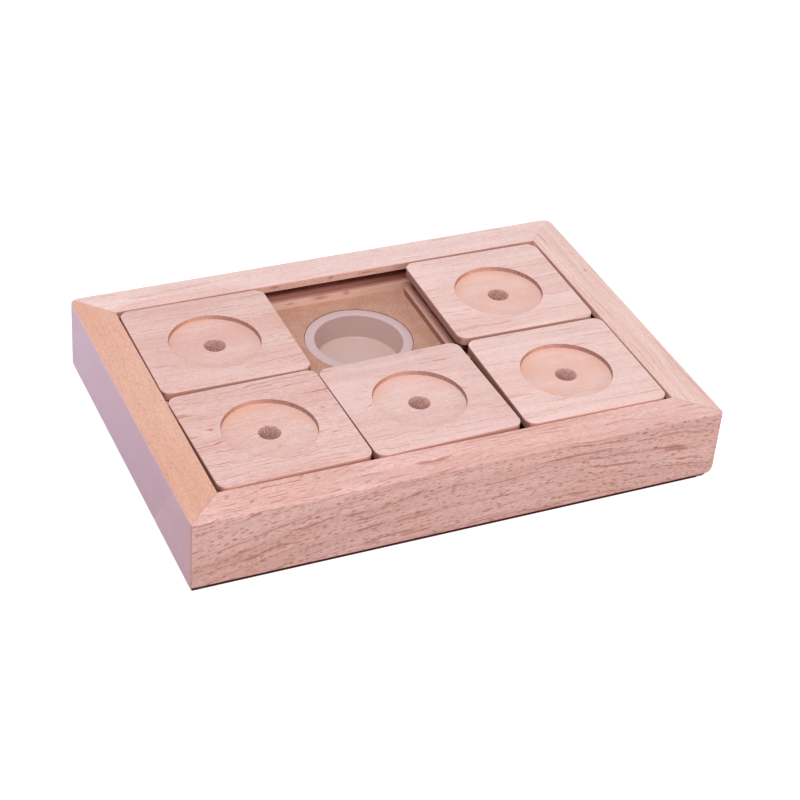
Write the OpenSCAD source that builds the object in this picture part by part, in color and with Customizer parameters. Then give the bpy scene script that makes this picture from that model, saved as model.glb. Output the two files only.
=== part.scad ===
// Sliding-tile treat puzzle for a dog.
// A mitred beech frame holds an MDF floor with six food cups. Five beech tiles
// slide over the cups on tongues and grooves, and one cell is always empty.
// Millimetres. Origin on the table under the middle of the board, +X to the
// right along the long side, +Y to the back, +Z up.

/* [Tile] */
// Length of a tile's top along X
tile_l = 72.2; // [62:0.1:90]
// Width of a tile's top along Y
tile_w = 69.6; // [62:0.1:90]
// Thickness of a tile
tile_t = 15.3; // [14.5:0.1:20]
// Plan radius of a tile's corners
tile_corner_r = 5; // [3:0.5:10]
// Height of a tile's top above the frame's top
tile_proud = 0.6; // [0:0.1:1.5]
// Diameter of the finger and nose recess
recess_d = 43.7; // [30:0.1:48]
// Depth of the finger and nose recess
recess_depth = 2.5; // [1:0.1:3.5]
// Place of the recess along X, from the middle of the tile
recess_x = -0.1; // [-2:0.1:2]
// Place of the recess along Y, from the middle of the tile
recess_y = -1; // [-2:0.1:2]
// Diameter of the scent hole through a tile
scent_hole_d = 10.2; // [6:0.1:16]

/* [Tongue and groove] */
// Thickness of the frame's lip over the groove
lip_t = 3.8; // [3:0.1:5]
// Height of every groove
groove_h = 7.4; // [5:0.1:8]
// Depth of every groove
groove_depth = 4; // [3.6:0.1:5]
// Length of every tongue
tongue_len = 3; // [2:0.1:3.2]
// Free height above and below a tongue in its groove
tongue_clear = 0.6; // [0.3:0.05:1]
// Free height under a tile
slide_clear = 0.3; // [0.2:0.05:0.6]
// Free length in each cell along X
play_x = 1.9; // [1.9:0.1:4]
// Free width in each cell along Y
play_y = 2.4; // [2.4:0.1:4]

/* [Frame] */
// Width of a rail, seen from above
rail_w = 17.8; // [17:0.1:30]
// Plan radius of the frame's front corners
front_corner_r = 1.5; // [1.2:0.1:6]
// Plan radius of the frame's back corners
back_corner_r = 4.5; // [1.2:0.1:6]
// Radius of the outer top edge
top_round = 1; // [0.4:0.1:1.1]
// Radius of the outer bottom edge
bottom_round = 1; // [0.4:0.1:1.1]
// Width of the rebate that holds the floor
rebate_w = 6; // [4:0.5:7]
// Diameter of a corner dowel
dowel_d = 6; // [4:0.5:7]
// Length of a corner dowel
dowel_len = 12; // [10:0.5:15]

/* [Cup] */
// Diameter of a cup's rim
cup_rim_d = 52.5; // [50:0.5:56]
// Thickness of a cup's rim
cup_rim_t = 1.5; // [1:0.1:2.5]
// Inside diameter of a cup at its mouth
cup_mouth_d = 43.2; // [38:0.1:44]
// Inside diameter of a cup at its floor
cup_base_d = 41.5; // [34:0.1:42]
// Inside depth of a cup
cup_depth = 12.6; // [9:0.1:18]
// Wall and floor thickness of a cup
cup_wall_t = 1.4; // [1:0.1:2]

/* [Floor and underside] */
// Thickness of the bottom panel
panel_t = 3; // [2.5:0.1:5]
// Depth of the bottom panel inside the frame's underside
panel_inset = 0.5; // [0.2:0.1:2]
// Diameter of a panel screw
screw_d = 3; // [2.5:0.1:3.5]
// Length of a panel screw
screw_len = 12; // [8:0.5:14]
// Diameter of a screw's head
screw_head_d = 5.6; // [5:0.1:6.5]
// Diameter of a foot pad
foot_d = 10; // [6:0.5:12]
// Thickness of a foot pad
foot_t = 1.5; // [1:0.1:4]

/* [Hidden] */
$fn = 64;

// The board is three cells long and two cells wide.
COLS = 3;
ROWS = 2;

// Where each tile lies in its cell when it is let go: along X, along Y, and its turn in degrees.
REST_FRONT_LEFT = [-0.05, -0.1, 1.1];
REST_FRONT_MIDDLE = [-1.3, -0.1, 1.5];
REST_FRONT_RIGHT = [-0.3, -0.8, -0.4];
REST_BACK_LEFT = [-0.5, -0.5, -0.3];
REST_BACK_RIGHT = [-1.1, -1.1, -0.7];

// Fits
cup_seat_gap = 0.4;     // round a cup's rim in its counterbore
cup_body_gap = 0.2;     // round a cup's body in its bore
cup_rim_set = 0.2;      // rim below the floor's top
cup_under = 2.5;        // free height under a cup
floor_gap = 0.2;        // round the floor and the panel in the rebate
dowel_gap = 0.05;       // round a dowel in its hole
dowel_end_gap = 0.5;    // past each end of a dowel
screw_gap = 0.25;       // round a screw in the panel
slot_w = 0.8;           // slot in a screw's head
slot_depth = 0.9;
over = 1;               // how far a cut or a joined shape runs past its face

// Plan
cell_x = tile_l + play_x;
cell_y = tile_w + play_y;
opening_l = COLS * cell_x;
opening_w = ROWS * cell_y;
frame_l = opening_l + 2 * rail_w;
frame_w = opening_w + 2 * rail_w;
board_l = opening_l + 2 * (rebate_w - floor_gap);
board_w = opening_w + 2 * (rebate_w - floor_gap);
wall_w = rail_w - rebate_w;             // rail left beside the rebate
dowel_set = (wall_w + dowel_len * sqrt(0.5) / 2) / 2;
foot_set = wall_w / 2;
tongue_corner_r = tile_corner_r + tongue_len;
screw_head_h = (screw_head_d - screw_d) / 2;

// Heights
cup_body_h = cup_depth + cup_wall_t;
panel_z = foot_t + panel_inset;
board_z = panel_z + panel_t;
board_t = cup_rim_set + cup_body_h + cup_under;
floor_z = board_z + board_t;
tile_z = floor_z + slide_clear;
tile_top_z = tile_z + tile_t;
frame_top_z = tile_top_z - tile_proud;
rail_h = frame_top_z - foot_t;
groove_top_z = frame_top_z - lip_t;
groove_z = groove_top_z - groove_h;
tongue_z = groove_z + tongue_clear;
tongue_t = groove_h - 2 * tongue_clear;
cup_rim_z = floor_z - cup_rim_set;
cup_z = cup_rim_z - cup_body_h;
dowel_z = (foot_t + floor_z) / 2;

// Cup
cup_body_r = cup_mouth_d / 2 + cup_wall_t;
cup_base_r = cup_base_d / 2 + cup_wall_t;
cup_rim_under_z = cup_rim_z - cup_rim_t;

// Colours
BEECH = [0.91, 0.76, 0.70];
BEECH_END = [0.86, 0.66, 0.54];
MDF = [0.72, 0.55, 0.46];
HARDBOARD = [0.45, 0.30, 0.20];
CUP_GREY = [0.80, 0.72, 0.74];
STEEL = [0.75, 0.75, 0.77];
RUBBER = [0.16, 0.15, 0.15];

// Middle of a cell, counted from the front left one.
function cell_centre(col, row) =
    [(col - (COLS - 1) / 2) * cell_x, (row - (ROWS - 1) / 2) * cell_y];

FRONT_LEFT = cell_centre(0, 0);
FRONT_MIDDLE = cell_centre(1, 0);
FRONT_RIGHT = cell_centre(2, 0);
BACK_LEFT = cell_centre(0, 1);
BACK_MIDDLE = cell_centre(1, 1);
BACK_RIGHT = cell_centre(2, 1);

// Panel screws stand between the cups and beside the outer ones.
function screw_places() = concat(
    [for (sx = [-0.5, 0.5], sy = [-1, 0, 1]) [sx * cell_x, sy * opening_w / 2]],
    [for (sx = [-1, 1]) [sx * opening_l / 2, 0]]
);

// ---- shapes that repeat ----

// A rectangle from p to q with corner radius r.
module rounded_rect(p, q, r) {
    translate([p[0] + r, p[1]]) square([q[0] - p[0] - 2 * r, q[1] - p[1]]);
    translate([p[0], p[1] + r]) square([q[0] - p[0], q[1] - p[1] - 2 * r]);
    for (x = [p[0] + r, q[0] - r], y = [p[1] + r, q[1] - r])
        translate([x, y]) circle(r = r);
}

// Section of a rail, outer face at x = 0 and the inside towards -x, from the
// frame's underside up.
module rail_stock() {
    translate([-rail_w, 0]) square([rail_w - top_round, rail_h]);
    translate([-rail_w, 0]) square([rail_w - bottom_round, rail_h - top_round]);
    translate([-rail_w, bottom_round])
        square([rail_w, rail_h - top_round - bottom_round]);
    translate([-top_round, rail_h - top_round]) circle(r = top_round);
    translate([-bottom_round, bottom_round]) circle(r = bottom_round);
}

// Stock with the floor's rebate, and a groove or a tongue on its inner face.
module rail_section(tongued) {
    difference() {
        rail_stock();
        translate([-rail_w - over, -over])
            square([rebate_w + over, floor_z - foot_t + over]);
        if (!tongued)
            translate([-rail_w - over, groove_z - foot_t])
                square([groove_depth + over, groove_h]);
    }
    if (tongued)
        translate([-rail_w - tongue_len, tongue_z - foot_t])
            square([tongue_len + over, tongue_t]);
}

// Outermost strip of the stock, turned about a corner of the frame of radius r.
module rail_corner(r) {
    rotate_extrude(angle = 90)
        intersection() {
            translate([r, 0]) rail_stock();
            square([r, rail_h]);
        }
}

module dowel_pin(length, gap) {
    rotate([90, 0, 45]) cylinder(d = dowel_d + 2 * gap, h = length, center = true);
}

// A rail of outer length len along X, its outer face on y = 0 facing +Y, cut
// to a mitre at both ends, with corner radius r_low at -x and r_high at +x.
module rail(len, tongued, r_low, r_high) {
    reach = rail_w + tongue_len + over;
    difference() {
        intersection() {
            union() {
                translate([r_low - len / 2, 0, 0]) rotate([90, 0, 90])
                    linear_extrude(len - r_low - r_high) rail_section(tongued);
                translate([len / 2 - r_high, -r_high, 0]) rail_corner(r_high);
                translate([r_low - len / 2, -r_low, 0]) rotate([0, 0, 90]) rail_corner(r_low);
            }
            linear_extrude(rail_h)
                polygon([[-len / 2, 0], [len / 2, 0],
                         [len / 2 - reach, -reach], [reach - len / 2, -reach]]);
        }
        for (s = [0, 1]) mirror([s, 0, 0])
            translate([len / 2 - dowel_set, -dowel_set, dowel_z - foot_t])
                dowel_pin(dowel_len + 2 * dowel_end_gap, dowel_gap);
    }
}

module place_rail(turn, distance) {
    rotate([0, 0, turn]) translate([0, distance, foot_t]) children();
}

module dowel(sx, sy) {
    translate([sx * (frame_l / 2 - dowel_set), sy * (frame_w / 2 - dowel_set), dowel_z])
        rotate([0, 0, sx * sy > 0 ? 0 : 90]) dowel_pin(dowel_len, 0);
}

module foot(sx, sy) {
    translate([sx * (frame_l / 2 - foot_set), sy * (frame_w / 2 - foot_set), 0])
        cylinder(d = foot_d, h = foot_t);
}

// A moulded cup that hangs by its rim, with a slightly tapered inside.
module cup(at) {
    mouth_r = cup_mouth_d / 2;
    base_r = cup_base_d / 2;
    translate([at[0], at[1], cup_z])
        rotate_extrude()
            polygon([[0, 0], [cup_base_r, 0], [cup_body_r, cup_body_h - cup_rim_t],
                     [cup_rim_d / 2, cup_body_h - cup_rim_t], [cup_rim_d / 2, cup_body_h],
                     [mouth_r, cup_body_h], [base_r, cup_wall_t], [0, cup_wall_t]]);
}

// What is bored out of the floor for a cup: a seat for its rim, a taper round
// its body and a straight hole under it.
module cup_bore() {
    seat_r = cup_rim_d / 2 + cup_seat_gap;
    top_r = cup_body_r + cup_body_gap;
    low_r = cup_base_r + cup_body_gap;
    rotate_extrude()
        polygon([[0, board_z - over], [low_r, board_z - over], [low_r, cup_z],
                 [top_r, cup_rim_under_z], [seat_r, cup_rim_under_z],
                 [seat_r, floor_z + over], [0, floor_z + over]]);
}

// A tile: lower lip, neck behind the two grooves, tongues, and top plate.
// The grooves are on its left and front sides, the tongues on the other two.
module tile(at, rest) {
    low = [-tile_l / 2, -tile_w / 2];
    high = [tile_l / 2, tile_w / 2];
    neck_low = low + [groove_depth, groove_depth];
    tongue_high = high + [tongue_len, tongue_len];
    translate([at[0] + rest[0], at[1] + rest[1], 0])
        rotate([0, 0, rest[2]])
            difference() {
                union() {
                    translate([0, 0, tile_z])
                        linear_extrude(groove_z - tile_z)
                            rounded_rect(low, high, tile_corner_r);
                    translate([0, 0, groove_z])
                        linear_extrude(groove_h)
                            intersection() {
                                rounded_rect(low, high, tile_corner_r);
                                translate(neck_low) square([tile_l, tile_w]);
                            }
                    translate([0, 0, tongue_z])
                        linear_extrude(tongue_t)
                            rounded_rect(neck_low, tongue_high, tongue_corner_r);
                    translate([0, 0, groove_top_z])
                        linear_extrude(tile_top_z - groove_top_z)
                            rounded_rect(low, high, tile_corner_r);
                }
                translate([recess_x, recess_y, tile_top_z - recess_depth])
                    cylinder(d = recess_d, h = recess_depth + over);
                translate([recess_x, recess_y, tile_z - over])
                    cylinder(d = scent_hole_d, h = tile_t + 2 * over);
            }
}

// ---- the frame ----

module rail_front() { color(BEECH) place_rail(180, frame_w / 2)
    rail(frame_l, true, front_corner_r, front_corner_r); }
module rail_back() { color(BEECH) place_rail(0, frame_w / 2)
    rail(frame_l, false, back_corner_r, back_corner_r); }
module rail_left() { color(BEECH_END) place_rail(90, frame_l / 2)
    rail(frame_w, true, front_corner_r, back_corner_r); }
module rail_right() { color(BEECH) place_rail(-90, frame_l / 2)
    rail(frame_w, false, back_corner_r, front_corner_r); }

module dowel_front_left() { color(BEECH_END) dowel(-1, -1); }
module dowel_front_right() { color(BEECH_END) dowel(1, -1); }
module dowel_back_left() { color(BEECH_END) dowel(-1, 1); }
module dowel_back_right() { color(BEECH_END) dowel(1, 1); }

// ---- the floor and the underside ----

module floor_board() {
    color(MDF) difference() {
        translate([-board_l / 2, -board_w / 2, board_z]) cube([board_l, board_w, board_t]);
        for (col = [0 : COLS - 1], row = [0 : ROWS - 1])
            translate(cell_centre(col, row)) cup_bore();
        for (p = screw_places())
            translate([p[0], p[1], board_z - over])
                cylinder(d = screw_d, h = screw_len - panel_t + over);
    }
}

module bottom_panel() {
    color(HARDBOARD) difference() {
        translate([-board_l / 2, -board_w / 2, panel_z]) cube([board_l, board_w, panel_t]);
        for (p = screw_places())
            translate([p[0], p[1], panel_z]) {
                translate([0, 0, -over])
                    cylinder(d = screw_d + 2 * screw_gap, h = panel_t + 2 * over);
                cylinder(r1 = screw_head_d / 2 + screw_gap, r2 = screw_d / 2 + screw_gap,
                         h = screw_head_h);
            }
    }
}

module panel_screws() {
    color(STEEL) for (p = screw_places())
        translate([p[0], p[1], panel_z]) difference() {
            union() {
                cylinder(d1 = screw_head_d, d2 = screw_d, h = screw_head_h);
                translate([0, 0, screw_head_h])
                    cylinder(d = screw_d, h = screw_len - screw_head_h);
            }
            translate([-screw_head_d, -slot_w / 2, -over])
                cube([2 * screw_head_d, slot_w, slot_depth + over]);
        }
}

module foot_front_left() { color(RUBBER) foot(-1, -1); }
module foot_front_right() { color(RUBBER) foot(1, -1); }
module foot_back_left() { color(RUBBER) foot(-1, 1); }
module foot_back_right() { color(RUBBER) foot(1, 1); }

// ---- the cups ----

module cup_front_left() { color(CUP_GREY) cup(FRONT_LEFT); }
module cup_front_middle() { color(CUP_GREY) cup(FRONT_MIDDLE); }
module cup_front_right() { color(CUP_GREY) cup(FRONT_RIGHT); }
module cup_back_left() { color(CUP_GREY) cup(BACK_LEFT); }
module cup_back_middle() { color(CUP_GREY) cup(BACK_MIDDLE); }
module cup_back_right() { color(CUP_GREY) cup(BACK_RIGHT); }

// ---- the tiles; the back middle cell is empty ----

module tile_front_left() { color(BEECH) tile(FRONT_LEFT, REST_FRONT_LEFT); }
module tile_front_middle() { color(BEECH) tile(FRONT_MIDDLE, REST_FRONT_MIDDLE); }
module tile_front_right() { color(BEECH) tile(FRONT_RIGHT, REST_FRONT_RIGHT); }
module tile_back_left() { color(BEECH) tile(BACK_LEFT, REST_BACK_LEFT); }
module tile_back_right() { color(BEECH) tile(BACK_RIGHT, REST_BACK_RIGHT); }

rail_front();
rail_back();
rail_left();
rail_right();
dowel_front_left();
dowel_front_right();
dowel_back_left();
dowel_back_right();
floor_board();
bottom_panel();
panel_screws();
foot_front_left();
foot_front_right();
foot_back_left();
foot_back_right();
cup_front_left();
cup_front_middle();
cup_front_right();
cup_back_left();
cup_back_middle();
cup_back_right();
tile_front_left();
tile_front_middle();
tile_front_right();
tile_back_left();
tile_back_right();
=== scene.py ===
import math

import bmesh
import bpy
from mathutils import Matrix, Quaternion, Vector


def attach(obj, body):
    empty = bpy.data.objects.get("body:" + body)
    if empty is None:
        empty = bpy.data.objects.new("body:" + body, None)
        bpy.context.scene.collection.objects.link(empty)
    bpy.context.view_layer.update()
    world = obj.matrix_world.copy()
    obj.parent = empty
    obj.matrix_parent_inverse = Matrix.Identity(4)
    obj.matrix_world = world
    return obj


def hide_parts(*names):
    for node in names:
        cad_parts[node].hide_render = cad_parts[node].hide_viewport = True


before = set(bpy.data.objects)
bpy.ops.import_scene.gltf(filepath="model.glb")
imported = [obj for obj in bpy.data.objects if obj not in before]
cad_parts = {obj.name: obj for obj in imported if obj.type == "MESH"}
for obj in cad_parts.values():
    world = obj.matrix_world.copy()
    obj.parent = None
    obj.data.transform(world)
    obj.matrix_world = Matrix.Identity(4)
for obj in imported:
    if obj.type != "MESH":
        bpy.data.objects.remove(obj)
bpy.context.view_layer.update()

# ---- the view ----
# The board is seen from its front left and from above, through a long lens that stands about a metre away.
# The camera leans a few degrees to one side.
MM = 0.001
lens = bpy.data.cameras.new("view")
lens.lens = 93.073
lens.sensor_width = 36
lens.clip_start = 0.05
camera = bpy.data.objects.new("view", lens)
camera.location = Vector((-350.476, -718.506, 585.816)) * MM
camera.rotation_mode = "QUATERNION"
camera.rotation_quaternion = Quaternion((0.8743217, 0.4390840, -0.1236164, -0.1657881))
bpy.context.scene.collection.objects.link(camera)
bpy.context.scene.camera = camera
bpy.context.scene.view_settings.view_transform = "Standard"


# ---- the table and the light ----
# A white table top in a bright even room: a white sky, a soft lamp overhead, a low one in front and a cool
# one on the left. The table shows as plain white round the board and is painted dark under it, a painted
# shadow. It is clear when seen from below, and the patch under the board lets the sky's light through to the
# underside.
def add(tree, kind, inputs=(), **settings):
    """Put a node in a finish, set its values and join its inputs."""
    made = tree.nodes.new("ShaderNode" + kind)
    for name, value in settings.items():
        setattr(made, name, value)
    for key, value in dict(inputs).items():
        if isinstance(value, bpy.types.NodeSocket):
            tree.links.new(value, made.inputs[key])
        else:
            made.inputs[key].default_value = value
    return made


def sums(tree, operation, *values):
    """Join numbers by one sum and give the result."""
    return add(tree, "Math", enumerate(values), operation=operation).outputs[0]


def plus(tree, one, two):
    return sums(tree, "ADD", one, two)


def less(tree, one, two):
    """One less two."""
    return sums(tree, "SUBTRACT", one, two)


def times(tree, first, *others):
    for other in others:
        first = sums(tree, "MULTIPLY", first, other)
    return first


def most(tree, first, *others):
    """The greatest of some numbers."""
    for other in others:
        first = sums(tree, "MAXIMUM", first, other)
    return first


def between(tree, value, low, high, smooth=True):
    """0 below low and 1 above high."""
    kind = "SMOOTHSTEP" if smooth else "LINEAR"
    made = add(tree, "MapRange", {0: value, 1: low, 2: high, 3: 0.0, 4: 1.0}, interpolation_type=kind)
    return made.outputs[0]


def one_of(tree, vector, axis):
    """One number of a place or a direction."""
    return add(tree, "SeparateXYZ", {0: vector}).outputs["XYZ".index(axis)]


def mixed(tree, share, first, second, blend="MIX"):
    """One colour laid over another by a share."""
    made = add(tree, "Mix", {0: share, 6: first, 7: second}, data_type="RGBA", blend_type=blend)
    return made.outputs[2]


def tone(red, green, blue):
    """A colour from its 0-255 screen values."""
    parts = [c / 255 for c in (red, green, blue)]
    return [c / 12.92 if c <= 0.04045 else ((c + 0.055) / 1.055) ** 2.4 for c in parts] + [1]


def new_finish(name):
    """An empty material, with its tree and its output."""
    finish = bpy.data.materials.new(name)
    finish.use_nodes = True
    finish.node_tree.nodes.clear()
    return finish, finish.node_tree, add(finish.node_tree, "OutputMaterial")


def new_object(name, mesh, *finishes):
    made = bpy.data.objects.new(name, mesh)
    bpy.context.scene.collection.objects.link(made)
    for finish in finishes:
        mesh.materials.append(finish)
    return made


TABLE_REACH = 6.0
TABLE_WHITE = [0.60, 0.60, 0.60, 1]
TABLE_GLOW = 0.72
# The patch of table under the board, which is painted dark as a painted shadow.
SHADOW_PATCH_MIDDLE = (-0.0033, 0.0)
SHADOW_PATCH_REACH = (0.1243, 0.0887)
SHADOW_PATCH_FADE = 0.0006
finish, tree, out = new_finish("white table")
spot = add(tree, "TexCoord").outputs["Object"]
past_edge = []
for axis, middle, reach in zip("XY", SHADOW_PATCH_MIDDLE, SHADOW_PATCH_REACH):
    away = sums(tree, "ABSOLUTE", less(tree, one_of(tree, spot, axis), middle))
    past_edge.append(between(tree, away, reach, reach + SHADOW_PATCH_FADE))
open_table = most(tree, *past_edge)
rays = add(tree, "LightPath").outputs
seen = most(tree, rays["Is Camera Ray"], rays["Is Glossy Ray"], rays["Is Transmission Ray"])
# Under the board the table is painted a dark brown: a painted shadow.
matt = add(tree, "BsdfDiffuse", {"Color": mixed(tree, open_table, tone(92, 52, 58), TABLE_WHITE)})
glow = add(tree, "Emission", {"Strength": times(tree, seen, open_table, TABLE_GLOW)})
both = add(tree, "AddShader", {0: matt.outputs[0], 1: glow.outputs[0]})
clear = add(tree, "BsdfTransparent")
passing = most(tree, rays["Is Shadow Ray"], rays["Is Diffuse Ray"], rays["Is Glossy Ray"])
window = times(tree, passing, less(tree, 1.0, open_table))
hidden = most(tree, add(tree, "NewGeometry").outputs["Backfacing"], window)
top = add(tree, "MixShader", {0: hidden, 1: both.outputs[0], 2: clear.outputs[0]})
tree.links.new(top.outputs[0], out.inputs["Surface"])
mesh = bpy.data.meshes.new("table")
corners = [(-1, -1), (1, -1), (1, 1), (-1, 1)]
mesh.from_pydata([(x * TABLE_REACH, y * TABLE_REACH, 0) for x, y in corners], [], [(0, 1, 2, 3)])
new_object("table", mesh, finish)

SKY_LIGHT = 0.56
world = bpy.data.worlds.new("room")
world.use_nodes = True
sky = world.node_tree.nodes["Background"]
sky.inputs["Color"].default_value = (1, 1, 1, 1)
sky.inputs["Strength"].default_value = SKY_LIGHT
bpy.context.scene.world = world


def lamp(name, place, size, power, colour):
    """A round soft lamp that looks at the middle of the board."""
    made = bpy.data.lights.new(name, "AREA")
    made.shape = "DISK"
    made.size = size
    made.energy = power
    made.color = colour
    holder = bpy.data.objects.new(name, made)
    holder.location = place
    holder.rotation_euler = (-Vector(place)).to_track_quat("-Z", "Y").to_euler()
    bpy.context.scene.collection.objects.link(holder)


lamp("overhead lamp", (-0.40, -0.42, 1.7), size=0.9, power=17, colour=(0.99, 1.0, 1.01))
lamp("front lamp", (1.1, -1.4, 0.45), size=1.0, power=7, colour=(1.0, 0.99, 0.99))
lamp("left lamp", (-1.5, 0.2, 0.35), size=0.9, power=3.2, colour=(0.66, 0.76, 1.0))

# ---- the frame ----
# Four rails of steamed beech, moulded in one length, mitred and glued at the corners. The front and left ones
# carry a tongue, the back and right ones a groove under a lip, and all four are rebated below for the floor.
FRAME_L = 257.9
FRAME_W = 179.6
RAIL_W = 17.8
FOOT_T = 1.5
TOP_Z = 36.7
FLOOR_Z = 21.7
REBATE_W = 6.0
LIP_Z = 32.9
LEDGE_Z = 25.5
GROOVE_DEPTH = 4.0
TONGUE_LEN = 3.0
TONGUE_Z = (26.1, 32.3)
EDGE_ROUND = 1.0
FRONT_CORNER_R = 1.5
BACK_CORNER_R = 4.5
EASED = 0.25
BOTTOM_STEPS = 4
TOP_STEPS = 5
MITRE = 45
END_REACH = 34.0
END_STEPS = 8
CRISP_FROM = 32
RAIL_WOOD, RAIL_GROOVE, RAIL_EDGE = range(3)


def bend(middle, radius, start, end, steps):
    """Points of an arc in the plane, in degrees."""
    turns = [math.radians(start + (end - start) * k / steps) for k in range(steps + 1)]
    return [(middle[0] + radius * math.cos(a), middle[1] + radius * math.sin(a)) for a in turns]


def rail_section(tongued):
    """Each corner of the moulding as depth from the outer face and height, and the finish that ends there."""
    outer = bend((EDGE_ROUND, FOOT_T + EDGE_ROUND), EDGE_ROUND, 270, 180, BOTTOM_STEPS)
    outer += bend((EDGE_ROUND, TOP_Z - EDGE_ROUND), EDGE_ROUND, 180, 90, TOP_STEPS)
    outer += [(FRONT_CORNER_R, TOP_Z), (BACK_CORNER_R, TOP_Z), (RAIL_W - EASED, TOP_Z)]
    if tongued:
        low, high = TONGUE_Z
        tip = RAIL_W + TONGUE_LEN
        inner = [(RAIL_W, TOP_Z - EASED), (RAIL_W, high), (tip - EASED, high), (tip, high - EASED),
                 (tip, low + EASED), (tip - EASED, low), (RAIL_W, low), (RAIL_W, FLOOR_Z)]
        finishes = [RAIL_WOOD] * len(inner)
    else:
        root = RAIL_W - GROOVE_DEPTH
        inner = [(RAIL_W, TOP_Z - EASED), (RAIL_W, LIP_Z + EASED), (RAIL_W - EASED, LIP_Z), (root, LIP_Z),
                 (root, LEDGE_Z), (RAIL_W - EASED, LEDGE_Z), (RAIL_W, LEDGE_Z - EASED), (RAIL_W, FLOOR_Z)]
        finishes = [RAIL_EDGE] * 3 + [RAIL_GROOVE] * 2 + [RAIL_EDGE] * 3
    wall = RAIL_W - REBATE_W
    under = [(wall, FLOOR_Z), (wall, FOOT_T), (BACK_CORNER_R, FOOT_T), (FRONT_CORNER_R, FOOT_T)]
    finishes = [RAIL_WOOD] * len(outer) + finishes + [RAIL_WOOD] * len(under)
    return outer + inner + under, finishes


def finished_mesh(name, bm):
    """Turn a closed form into a mesh with soft shading between its crisp edges."""
    bmesh.ops.recalc_face_normals(bm, faces=bm.faces)
    mesh = bpy.data.meshes.new(name)
    bm.to_mesh(mesh)
    bm.free()
    mesh.shade_smooth()
    mesh.set_sharp_from_angle(angle=math.radians(CRISP_FROM))
    return mesh


def rail_mesh(name, length, tongued, low_end, high_end):
    """A rail along X with its outer face on y = 0 and two mitred ends, each a corner radius and a gap."""
    section, finishes = rail_section(tongued)
    start = length / 2 - END_REACH

    def end_ring(k, radius, gap):
        """One ring of an end: round the corner near the outer face, and into the mitre behind it."""
        turn = math.radians(MITRE * (k - 1) / (END_STEPS - 1))
        opening = gap if k == END_STEPS else 0
        ring = []
        for depth, height in section:
            if depth < radius:
                along = length / 2 - radius + (radius - depth) * math.sin(turn)
                inward = radius - (radius - depth) * math.cos(turn)
            else:
                along = start + k / END_STEPS * (length / 2 - depth - start)
                inward = depth
            ring.append((along - opening, -inward, height))
        return ring

    high = [end_ring(k, *high_end) for k in range(1, END_STEPS + 1)]
    low = [[(-x, y, z) for x, y, z in end_ring(k, *low_end)] for k in range(END_STEPS, 0, -1)]
    middle = [[(x, -depth, height) for depth, height in section] for x in (-start, 0, start)]
    bm = bmesh.new()
    rings = [[bm.verts.new(Vector(p) * MM) for p in ring] for ring in low + middle + high]
    for one, two in zip(rings, rings[1:]):
        for k, finish in enumerate(finishes):
            face = bm.faces.new((one[k - 1], one[k], two[k], two[k - 1]))
            face.material_index = finish
    bm.faces.new(rings[0])
    bm.faces.new(rings[-1][::-1])
    return finished_mesh(name, bm)


WORN_R = 5.5
WORN_STEPS = 6


def worn_edge(mesh):
    """Round the edge under the frame's right end, which is sanded off more than the others."""
    middle = (FRAME_L / 2 - WORN_R, FOOT_T + WORN_R)
    bm = bmesh.new()
    bm.from_mesh(mesh)
    for across, up in bend(middle, WORN_R, 270, 360, WORN_STEPS):
        for place, normal in (((across, 0, 0), (1, 0, 0)), ((0, 0, up), (0, 0, 1))):
            near = [face for face in bm.faces if max(v.co.x for v in face.verts) > middle[0] * MM]
            edges = dict.fromkeys(edge for face in near for edge in face.edges)
            verts = dict.fromkeys(vert for face in near for vert in face.verts)
            parts = near + list(edges) + list(verts)
            bmesh.ops.bisect_plane(bm, geom=parts, dist=1e-7, plane_co=Vector(place) * MM, plane_no=normal)
    for vert in bm.verts:
        out = Vector((vert.co.x / MM - middle[0], vert.co.z / MM - middle[1]))
        if out.x > 0 and out.y < 0 and out.length > WORN_R:
            out *= WORN_R / out.length
            vert.co.x = (middle[0] + out.x) * MM
            vert.co.z = (middle[1] + out.y) * MM
    bmesh.ops.dissolve_degenerate(bm, dist=1e-6, edges=bm.edges)
    name = mesh.name
    bpy.data.meshes.remove(mesh)
    return finished_mesh(name, bm)


# Steamed beech: growth lines and faint bands along the grain, short dashes of pores, darker ray flecks, and
# dull mottling where the grain is cut across. The place comes in millimetres with the grain along X, and the
# scales of the marks are in marks a millimetre.
def new_group(name, inputs, outputs):
    """An empty node group with named inputs and outputs, and its two ends."""
    group = bpy.data.node_groups.new(name, "ShaderNodeTree")
    for key, kind, value in inputs:
        made = group.interface.new_socket(key, in_out="INPUT", socket_type="NodeSocket" + kind)
        if value is not None:
            made.default_value = value
    for key, kind in outputs:
        group.interface.new_socket(key, in_out="OUTPUT", socket_type="NodeSocket" + kind)
    return group, group.nodes.new("NodeGroupInput").outputs, group.nodes.new("NodeGroupOutput").inputs


def noise(tree, place, scale, detail=2.0, rough=0.5, offset=(0, 0, 0)):
    where = add(tree, "Mapping", {"Vector": place, "Location": offset, "Scale": scale}).outputs[0]
    made = add(tree, "TexNoise", {"Vector": where, "Scale": 1.0, "Detail": detail, "Roughness": rough})
    return made.outputs["Fac"]


SPECK_EDGE = (0.6, 1.1)
LEAST_SPECK = 0.35
FAINT_SPECK = 0.3


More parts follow.
